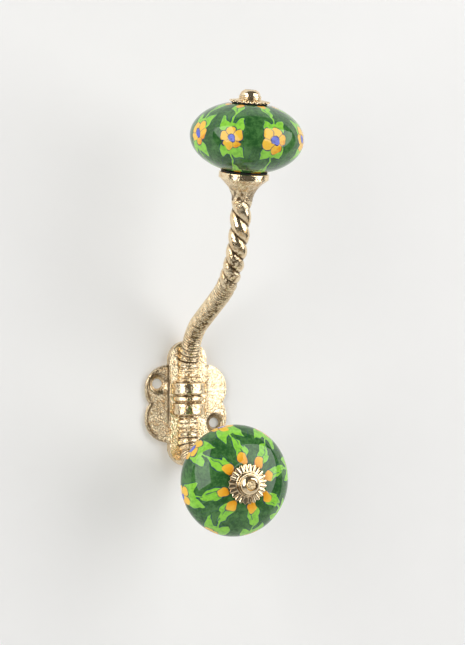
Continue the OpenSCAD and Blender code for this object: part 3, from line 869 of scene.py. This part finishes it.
def make_bar():
    tree, given, result = new_tree(
        "cast_bar", "GeometryNodeTree",
        [("Geometry", "Geometry"), ("Root Radius", "Float", 4.4), ("Bar Radius", "Float", 3.5),
         ("Taper", "Float", 16.0), ("Length", "Float", 90.0), ("Strands", "Float", 2.0),
         ("Pitch", "Float", 7.2), ("Pitch Fall", "Float", 0.08), ("Rope Depth", "Float", 1.1),
         ("Rope Length", "Float", 36.0), ("Ring Pitch", "Float", 1.25), ("Ring Depth", "Float", 0.42),
         ("Root Pitch", "Float", 2.7), ("Root Depth", "Float", 0.8),
         ("Hammered", "Float", 2.6), ("Material", "Material")],
        [("Geometry", "Geometry")])
    path = add(tree, "GeometryNodeMeshToCurve", {"Mesh": given["Geometry"]}).outputs[0]
    travelled = add(tree, "GeometryNodeSplineParameter").outputs["Length"]
    stored = add(tree, "GeometryNodeStoreNamedAttribute",
                 {"Geometry": path, "Name": "travelled", "Value": travelled}, domain="POINT")
    middle = add(tree, "GeometryNodeStoreNamedAttribute", data_type="FLOAT_VECTOR", domain="POINT")
    tree.links.new(stored.outputs[0], middle.inputs["Geometry"])
    middle.inputs["Name"].default_value = "middle"
    tree.links.new(add(tree, "GeometryNodeInputPosition").outputs[0], middle.inputs["Value"])
    circle = add(tree, "GeometryNodeCurvePrimitiveCircle", {"Resolution": 96, "Radius": MM})
    factor = add(tree, "GeometryNodeSplineParameter").outputs["Factor"]
    section = add(tree, "GeometryNodeStoreNamedAttribute",
                  {"Geometry": circle.outputs[0], "Name": "round", "Value": factor}, domain="POINT")
    sweep = {"Curve": middle.outputs[0], "Profile Curve": section.outputs[0], "Fill Caps": True}
    swept = add(tree, "GeometryNodeCurveToMesh", sweep).outputs[0]

    def stored_value(name, kind="FLOAT"):
        node = add(tree, "GeometryNodeInputNamedAttribute", {"Name": name}, data_type=kind)
        return node.outputs["Attribute"]

    d = Num(tree, stored_value("travelled")) / MM
    angle = Num(tree, stored_value("round")) * TURN
    down = Num(tree, given["Length"]) - d
    position = add(tree, "GeometryNodeInputPosition").outputs[0]
    scaled = add(tree, "ShaderNodeVectorMath", {0: position}, operation="SCALE")
    scaled.inputs["Scale"].default_value = 1 / MM
    rough = Num(tree, noise(tree, scaled.outputs[0], 1.6, 3.0, 0.6).outputs["Fac"]) - 0.5

    # Crests come closer together down the rope, so their number is a logarithm of the distance.
    fall = Num(tree, given["Pitch Fall"])
    crests = (1.0 - down * fall / given["Pitch"]).op("MAXIMUM", 0.05).op("LOGARITHM", math.e) / fall * -1.0
    phase = crests * TURN - angle * given["Strands"] + rough * 0.5
    crest = abs((phase * 0.5).op("COSINE")).op("POWER", CREST_SHAPE)
    fade = (Num(tree, given["Rope Length"]) - down) / 10.0 + 0.2
    twist = fade.op("MAXIMUM", 0.0).op("MINIMUM", 1.0)
    rope = (crest - CREST_MEAN) * given["Rope Depth"] * twist

    # Fine rings on the smooth stretch, and a few coarse lips where the arm leaves the plate.
    ring_phase = d / given["Ring Pitch"] * TURN + rough * 1.6
    ring_crest = abs((ring_phase * 0.5).op("SINE")).op("POWER", RING_SHAPE)
    ring = (ring_crest - RING_MEAN) * given["Ring Depth"]
    root_phase = d / given["Root Pitch"] * TURN + rough * 2.2
    lip = abs((root_phase * 0.5).op("SINE")).op("POWER", LIP_SHAPE)
    near_root = d.step(*ROOT_END)
    lips = near_root * d.step(*LIPS_START)
    plain_part = (1.0 - twist) * (1.0 - near_root)
    rings = ring * plain_part + (lip - LIP_MEAN) * given["Root Depth"] * lips
    hammered = Num(tree, noise(tree, scaled.outputs[0], HAMMER_SIZE, 3.0, 0.65).outputs["Fac"]) - 0.5
    lumps = rough * 0.15 + hammered * near_root * (1.0 - lips * 0.6) * given["Hammered"]

    narrow = (d / given["Taper"]).op("MINIMUM", 1.0)
    plain = narrow * (Num(tree, given["Bar Radius"]) - given["Root Radius"]) + given["Root Radius"]
    reach = plain + rope + rings + lumps
    away = add(tree, "ShaderNodeVectorMath", operation="SUBTRACT")
    tree.links.new(position, away.inputs[0])
    tree.links.new(stored_value("middle", "FLOAT_VECTOR"), away.inputs[1])
    grow = add(tree, "ShaderNodeVectorMath", {0: away.outputs[0]}, operation="SCALE")
    plug(tree, reach - 1.0, grow.inputs["Scale"])
    moved = add(tree, "GeometryNodeSetPosition", {"Geometry": swept, "Offset": grow.outputs[0]})

    # Polish lies on the crests of the rope and of the lips, and patina in every valley.
    buffed = add(tree, "GeometryNodeStoreNamedAttribute", {"Geometry": moved.outputs[0]}, domain="POINT")
    buffed.inputs["Name"].default_value = "polish"
    lip_shine = lip.step(0.84, 0.94) * lips
    rope_shine = twist * down.step(0.5, 3.5) * (1.0 - down.step(14.0, 28.0) * 0.7)
    plug(tree, rope_shine.op("MAXIMUM", lip_shine), buffed.inputs["Value"])
    worn_off = Num(tree, noise(tree, scaled.outputs[0], 1.3, 2.0).outputs["Fac"]).step(0.66, 0.46)
    flecks = Num(tree, noise(tree, scaled.outputs[0], 0.9, 1.0).outputs["Fac"]).step(0.46, 0.53)
    sideways = Num(tree, add(tree, "ShaderNodeSeparateXYZ", {0: away.outputs[0]}).outputs[0]) / MM / plain
    front = abs(sideways + 0.3).step(0.65, 0.25)
    ring_soot = (ring_crest.step(0.85, 0.45) * 0.6).op("MAXIMUM", flecks * front) * plain_part * worn_off
    lip_soot = lip.step(0.85, 0.45) * lips
    rope_soot = crest.step(0.56, 0.3) * twist
    rope_flecks = flecks * front * twist * down.step(12.0, 20.0)
    dark = ring_soot.op("MAXIMUM", lip_soot).op("MAXIMUM", rope_soot).op("MAXIMUM", rope_flecks)
    sooty = add(tree, "GeometryNodeStoreNamedAttribute", {"Geometry": buffed.outputs[0]}, domain="POINT")
    sooty.inputs["Name"].default_value = "patina_and_shade"
    plug(tree, dark * down.step(0.5, 2.5), sooty.inputs["Value"])
    closed = add(tree, "GeometryNodeMergeByDistance", {"Geometry": sooty.outputs[0]})
    closed.inputs["Distance"].default_value = CLOSE_GAP * MM
    end_tree(tree, closed.outputs[0], given["Material"], result["Geometry"])
    return tree


BAR = make_bar()
print("bar tree:", len(BAR.nodes), "nodes")

# %% [markdown]
# ## The knobs
# Each knob is an oval of glazed ceramic, flat where it seats and drilled through for the stud. A
# sphere squashed flat would have no seats and no bore, so the section is drawn and turned instead.

# %% Knobs
BORE_LIP = 0.5
CLOSE = 0.01
KNOB_STEPS = 72


def knob(side):
    node = side + "_knob"
    low, high, radius = span(node, side)
    bore = bore_of(node, side)
    seat = max(r for r, h in on_axis(node, side) if h > high - CLOSE)
    full = high / math.sqrt(1 - (seat / radius) ** 2)
    tip = math.asin(high / full)
    angles = [tip * (2 * k / KNOB_STEPS - 1) for k in range(KNOB_STEPS + 1)]
    side_curve = [(radius * math.cos(a), full * math.sin(a)) for a in angles]
    inner = [(bore + BORE_LIP, high), (bore, high - BORE_LIP),
             (bore, low + BORE_LIP), (bore + BORE_LIP, low)]
    piece = lathe(side + "_ceramic_knob", side, finer(side_curve + inner, 0.8), GLAZE[side], turns=256)
    finish(piece, node, "painted_glaze", node)


for side in SIDES:
    knob(side)

# %% [markdown]
# ## Gaskets and nuts
# The gaskets are plain washers with a soft edge. A dome nut has a straight collar with a bead line
# turned into it, then a small ledge and a low dome. The stud's peened end shows in its crown.

# %% Gaskets and nuts
COLLAR_SHARE = 0.37
DOME_SHARE = 0.91
DOME_STEPS = 18


def gasket(node, side):
    low, high, radius = span(node, side)
    bore = bore_of(node, side)
    soft = (high - low) * 0.4
    corners = [(bore, low, 0), (radius, low, soft), (radius, high, soft), (bore, high, 0)]
    piece = lathe(node + "_ring", side, finer(rounded(corners), 0.6), RUBBER, turns=96)
    finish(piece, "bracket", "gasket_rubber", node)


def dome_nut(side):
    node = side + "_dome_nut"
    low, high, radius = span(node, side)
    hole = bore_of(node, side)
    collar = low + COLLAR_SHARE * (high - low)
    dome_r = DOME_SHARE * radius
    foot = [(hole, low, 0), (radius - 0.05, low, 0.1), (radius, low + 0.5, 0.1),
            (radius - 0.18, low + 0.6, 0.05), (radius, low + 0.72, 0.1),
            (radius, collar, 0.22), (dome_r, collar + 0.02, 0.08)]
    crown = math.acos(hole / dome_r)
    rise = (high - collar) / math.sin(crown)
    dome = [(dome_r * math.cos(crown * k / DOME_STEPS), collar + rise * math.sin(crown * k / DOME_STEPS))
            for k in range(1, DOME_STEPS + 1)]
    piece = lathe(node + "_turned", side, finer(rounded(foot)[:-1] + dome, 0.5), PRESSED_GOLD, turns=128)
    finish(piece, "bracket", "pressed_gold", node)


for side in SIDES:
    for place in ("rear", "front"):
        gasket(f"{side}_{place}_gasket", side)
    dome_nut(side)

# %% [markdown]
# ## Rosettes
# The rosette is stamped from sheet, and the stamp leaves one flute after another right round it, each
# ending in a notch at the rim. It is turned as a plain dish first, and then the flute tree presses it.

# %% Rosettes
FLUTE_COUNT = 24.0
RIM_SHARE = 0.52
PRESS_SHARE = 0.72


def rosette(side):
    node = side + "_rosette"
    low, high, radius = span(node, side)
    nut = span(side + "_dome_nut", side)[2]
    bore = bore_of(node, side)
    rim_t = RIM_SHARE * (high - low)
    hub = nut + 0.35
    corners = [(bore, low, 0), (radius - 1.6, low, 0.3), (radius, low + 0.2, 0.1),
               (radius, low + rim_t, 0.15), (hub + 0.25, high - 0.16, 0.1),
               (hub + 0.12, high, 0.08), (hub - 0.25, high, 0.08),
               (hub - 0.4, high - 0.2, 0.05), (bore, high - 0.2, 0)]
    piece = lathe(node + "_fluted", side, finer(rounded(corners), 0.18), PRESSED_GOLD, turns=480)
    flat = knob_axes(side) @ Matrix.Translation((0, 0, low)) @ Matrix.Scale(1 / MM, 4)
    piece.data.transform(flat.inverted())
    grown(piece, FLUTES, **{"Count": FLUTE_COUNT, "Depth": PRESS_SHARE * rim_t, "Notch": 0.45,
                            "Inner Radius": hub + 0.2, "Outer Radius": radius, "Material": PRESSED_GOLD})
    piece.data.transform(flat)
    finish(piece, "bracket", "pressed_gold", node)


for side in SIDES:
    rosette(side)

# %% [markdown]
# ## Cups
# Each arm ends in a trumpet that seats its knob. It was cast with the arm and then dressed with a
# file, so its rim is straight and bright, but its flare keeps the uneven skin of the mould and the
# patina in it.

# %% Cups
RIM_HEIGHT = 2.1
FLARE_POWER = 2.2
FLARE_STEPS = 24
CORE_RADIUS = 0.4


def cup(side):
    node = side + "_cup"
    low, high, radius = span(node, side)
    points = on_axis(node, side)
    neck = max(r for r, h in points if h < low + CLOSE)
    bore = min(r for r, h in points if h > high - CLOSE)
    floor = min(h for r, h in points if r < bore + CLOSE and h > low + 0.5)
    rim_foot = high - RIM_HEIGHT
    flare_h = rim_foot - low
    flare = [(neck + (radius - neck) * (k / FLARE_STEPS) ** FLARE_POWER, low + flare_h * k / FLARE_STEPS)
             for k in range(FLARE_STEPS + 1)]
    rim = rounded([(radius, rim_foot, 0), (radius, high, 0.35), (bore, high, 0.2), (bore, floor, 0)])
    core = [(CORE_RADIUS, floor), (CORE_RADIUS, low)]
    piece = lathe(node + "_casting", side, finer(flare + rim[1:] + core, 0.35), CAST_GOLD, turns=160)
    back = knob_axes(side).inverted()
    heights = [(back @ v.co).z for v in piece.data.vertices]
    polish = [1.0 if h > rim_foot - 0.2 else 0.0 for h in heights]
    patina_and_shade = []
    for v, h in zip(piece.data.vertices, heights):
        patches = ramp(blot(v.co, 1.6), -0.15, 0.35)
        # The flare is also made darker towards its right side.
        right_side = 0.6 * ramp(v.co.x / MM, -0.6, 1.2)
        patina_and_shade.append(max(patches, right_side) * ramp(h, rim_foot - 0.3, low + 1.5))
    for label, values in (("polish", polish), ("patina_and_shade", patina_and_shade)):
        piece.data.attributes.new(label, "FLOAT", "POINT").data.foreach_set("value", values)
    grown(piece, SKIN, **{"Broad Depth": 0.45, "Broad Size": 3.2, "Fine Depth": 0.12,
                          "Fine Size": 0.9, "Material": CAST_GOLD})
    finish(piece, "bracket", "cast_gold", node)


for side in SIDES:
    cup(side)

# %% [markdown]
# ## Arms
# The upper arm swings out from the plate, then up to its knob. Its path is straight runs joined by
# round bends, so it is walked with a pen: go ahead, turn, go ahead. The lower arm is one bend. Both are
# swept by the same tree, with the rope twist only on the upper one.

# %% Arm paths
STEP = 0.17
plate_low, plate_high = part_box("backplate")
SPINE_OUT = -plate_low[1] / MM
collar_low, collar_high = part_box("banded_collar")


def walk(start, heading, runs):
    """Points every STEP along (straight, bend radius, turn) runs, as (out, up) in millimetres."""
    out, up = start
    heading = math.radians(heading)
    points = [(out, up)]
    for straight, bend, turn in runs:
        turn = math.radians(turn)
        for size, spin in ((straight, 0.0), (abs(turn) * bend, turn)):
            count = math.ceil(size / STEP)
            for _ in range(count):
                middle = heading + spin / count / 2
                out += size / count * math.sin(middle)
                up += size / count * math.cos(middle)
                heading += spin / count
                points.append((out, up))
    return points


UPPER_RUNS = [(1.0, 23.5, 66.0), (23.7, 35.0, math.degrees(lean("upper")) - 66.0), (9.2, 0.0, 0.0)]
LOWER_RUNS = [(5.9, 14.0, -90.0), (14.3, 0.0, 0.0)]
upper_path = walk((SPINE_OUT, collar_high[2] / MM), 0.0, UPPER_RUNS)
lower_path = walk((SPINE_OUT, collar_low[2] / MM), 180.0, LOWER_RUNS)
for side, path in (("upper", upper_path), ("lower", lower_path)):
    end = knob_axes(side).inverted() @ Vector((0, -path[-1][0] * MM, path[-1][1] * MM))
    print(f"{side} arm ends {end.z - span(side + '_cup', side)[0]:.2f} mm past the foot of its cup")

# %% Sweeping the arms
ROOT_SINK = 0.2


def arm(name, node, path, **values):
    """Sweeps a bar along a path and trims off what would lie deeper than ROOT_SINK in the spine."""
    mesh = bpy.data.meshes.new(name)
    verts = [(0, -out * MM, up * MM) for out, up in path]
    mesh.from_pydata(verts, [(i, i + 1) for i in range(len(verts) - 1)], [])
    piece = bpy.data.objects.new(name, mesh)
    bpy.context.scene.collection.objects.link(piece)
    length = sum(math.dist(a, b) for a, b in zip(path, path[1:]))
    grown(piece, BAR, Length=length, Material=CAST_GOLD, **values)
    work = bmesh.new()
    work.from_mesh(piece.data)
    everything = work.verts[:] + work.edges[:] + work.faces[:]
    bmesh.ops.bisect_plane(work, geom=everything, plane_co=(0, (ROOT_SINK - SPINE_OUT) * MM, 0),
                           plane_no=(0, 1, 0), clear_outer=True)
    open_edges = [e for e in work.edges if e.is_boundary]
    bmesh.ops.holes_fill(work, edges=open_edges, sides=0)
    bmesh.ops.recalc_face_normals(work, faces=work.faces)
    work.to_mesh(piece.data)
    work.free()
    shaped = keep_mesh(name, piece.data.copy(), CAST_GOLD)
    bpy.data.objects.remove(piece)
    shaped.name = name
    finish(shaped, "bracket", "cast_gold", node)


arm("upper_arm_rope", "upper_arm", upper_path)
arm("lower_arm_bar", "lower_arm", lower_path, **{"Bar Radius": 3.8, "Taper": 42.0, "Rope Depth": 0.0,
                                                 "Rope Length": -20.0, "Root Pitch": 2.9,
                                                 "Root Depth": 0.4, "Hammered": 3.4})

# %% [markdown]
# ## Plate and collar
# These are the true shapes of the parts with the crispness taken off. A copy is remeshed into small
# even faces, smoothed until its edges are as soft as a casting's, and given its skin. Before that,
# every point is marked with how bright the buffing wheel left it and how much patina it kept, and on
# the plate also how much painted shade it takes.

# %% Softening a casting
HALF_WAY = 0.5
MERGE = 0.005


def soften(node, name, voxel, rounds, material, marks, **skin):
    """marks(mesh) gives every point's polish, its dark mark (patina, and on the plate painted shade) and
    sink, the last in millimetres.
    """
    mesh = frame["nodes"][node].data.copy()
    work = bmesh.new()
    work.from_mesh(mesh)
    bmesh.ops.remove_doubles(work, verts=work.verts, dist=MERGE * MM)
    work.to_mesh(mesh)
    work.free()
    piece = bpy.data.objects.new(name, mesh)
    bpy.context.scene.collection.objects.link(piece)
    remesh = piece.modifiers.new("even", "REMESH")
    remesh.mode = "VOXEL"
    remesh.voxel_size = voxel * MM
    smooth = piece.modifiers.new("soft", "SMOOTH")
    smooth.factor = HALF_WAY
    smooth.iterations = rounds
    seen = piece.evaluated_get(bpy.context.evaluated_depsgraph_get())
    even = bpy.data.meshes.new_from_object(seen)
    piece.modifiers.clear()
    piece.data = even
    rows = marks(even)
    for v, row in zip(even.vertices, rows):
        v.co.y += row[2] * MM
    for column, label in enumerate(("polish", "patina_and_shade")):
        layer = even.attributes.new(label, "FLOAT", "POINT")
        layer.data.foreach_set("value", [float(row[column]) for row in rows])
    grown(piece, SKIN, Material=material, **skin)
    shaped = keep_mesh(name, piece.data.copy(), material)
    bpy.data.objects.remove(piece)
    shaped.name = name
    finish(shaped, "bracket", "cast_gold", node)


print("castings can be softened and marked")

# %% Screw holes
band_radius = collar_high[0] / MM
screws = [m for m in frame["record"]["mounts"] if m["name"] == "wall_screws"][0]["dims"]
back_face = [v.co / MM for v in frame["nodes"]["backplate"].data.vertices if abs(v.co.y) < 0.01 * MM]


def hole_centre(degrees):
    a = math.radians(degrees)
    return screws["pcd_mm"] / 2 * Vector((math.cos(a), 0, math.sin(a)))


def hits(degrees):
    """How many points of the back face lie on a hole's edge, if the hole were at this angle."""
    centre = hole_centre(degrees)
    return sum(abs((p - centre).length - screws["hole_r_mm"]) < 0.05 for p in back_face)


ANGLE_STEP = 0.25
hole_angle = max(np.arange(0, 180, ANGLE_STEP), key=hits)
holes = [hole_centre(hole_angle), hole_centre(hole_angle + 180)]
print(f"screw holes at {hole_angle:.2f} degrees and opposite")

# %% Plate
SINK = 4.0
UPRIGHT = 0.3
FLECK, PATCH = 0.8, 3.0
spine_edge = band_radius + 0.7


def plate_marks(mesh):
    """Bright, where polished: the spine's shoulders, the rim, the right wing and the countersinks. Dark,
    as painted shade: the crease beside the spine, a line inside the rim, a side of each countersink and
    a mottled strip on the spine's left flank, more on the plate's left. The right wing is made a
    little darker too."""
    places = [Vector((v.co.x, 0, v.co.z)) / MM for v in mesh.vertices]
    outs = [-v.co.y / MM for v in mesh.vertices]
    from_hole = [min((p - hole for hole in holes), key=lambda d: d.length) for p in places]
    upright = [i for i, v in enumerate(mesh.vertices)
               if abs(v.normal.y) < UPRIGHT and 0.2 < outs[i] < 1.2 and from_hole[i].length > SINK + 0.3]
    edge = KDTree(len(upright))
    for i in upright:
        edge.insert(places[i], i)
    edge.balance()
    rows = []
    for place, out, away in zip(places, outs, from_hole):
        on_left = place.x < 0
        # The plate's left is its shaded side, so the painted shade below is heavier there.
        strength = 1.0 if on_left else 0.35
        beside = abs(place.x)
        inset = edge.find(place)[2]
        patches = blot(place, PATCH)
        broken = 0.3 + 0.7 * ramp(patches, -0.3, 0.1) if on_left else ramp(patches, -0.1, 0.2)
        front = ramp(out, 0.9, 1.3)
        in_sink = ramp(away.length, SINK + 0.3, SINK)
        # Painted shade in the crease beside the spine, over a slight real sink.
        crease = ramp(beside, spine_edge, spine_edge + 0.4) * ramp(beside, spine_edge + 1.6, spine_edge + 0.8)
        crease = crease * ramp(place.z, -13.0, -4.0) * ramp(place.z, 25.0, 22.0)
        crease = crease * front * strength * (0.4 + 0.6 * broken)
        # Painted shade along a line just inside the rim, over a slight real sink, broken into patches.
        line = ramp(inset, 0.4, 0.65) * ramp(inset, 1.45, 1.1) * ramp(out, 2.6, 2.2)
        line = line * front * broken * (1.0 - in_sink)
        shade = ramp((away.z - away.x) / away.length, 0.2, 1.2) * ramp(away.length, 2.2, 3.4) * in_sink
        shade = shade if on_left else max(shade, 0.6 * in_sink)
        # Painted shade: a mottled dark strip on the left flank of the spine.
        left_flank_shade = 0.75 * ramp(beside, 8.0, 9.0) * ramp(blot(place, FLECK), -0.25, 0.3) * front * on_left
        wing = ramp(place.x, 7.0, 9.0) * front
        rim = ramp(inset, 0.6, 0.4) * ramp(out, 0.6, 1.1) * 0.8
        shoulder = ramp(beside, spine_edge, spine_edge - 0.4) * front
        polish = max(rim, wing * 0.6, shoulder * 0.8, in_sink * front * 0.9)
        # The dark mark is painted shade, plus a faint darkening of the right wing.
        patina_and_shade = max(crease, line * strength, shade * 0.8, wing * 0.08, left_flank_shade)
        rows.append((polish, patina_and_shade, line * 0.22 + crease * 0.15))
    return rows


soften("backplate", "backplate_casting", 0.24, 2, PLATE_GOLD, plate_marks,
       **{"Broad Depth": 0.35, "Broad Size": 4.5, "Fine Depth": 0.2, "Fine Size": 1.1, "Swell": 0.7})

# %% Collar
BAND_POLISH = 0.8


def collar_marks(mesh):
    """The bands are polished. The column between them keeps the hammered skin and its patina."""
    rows = []
    for v in mesh.vertices:
        radius = math.hypot(v.co.x / MM, -v.co.y / MM - SPINE_OUT)
        band = ramp(radius, band_radius - 1.1, band_radius - 0.7)
        rows.append((band * BAND_POLISH, (1.0 - band) * ramp(blot(v.co, 1.5), -0.1, 0.35), 0.0))
    return rows


soften("banded_collar", "collar_casting", 0.16, 2, CAST_GOLD, collar_marks,
       **{"Broad Depth": 0.9, "Broad Size": 2.4, "Fine Depth": 0.15, "Fine Size": 0.9})

# %% [markdown]
# ## Studs
# The studs are right as they are: plain rods, hidden but for one end. They keep their shape and only
# get their metal.

# %% Studs
for side in SIDES:
    stud = frame["nodes"][side + "_stud"]
    stud.data.materials.clear()
    stud.data.materials.append(STEEL)
    print(stud.name, "keeps its shape")
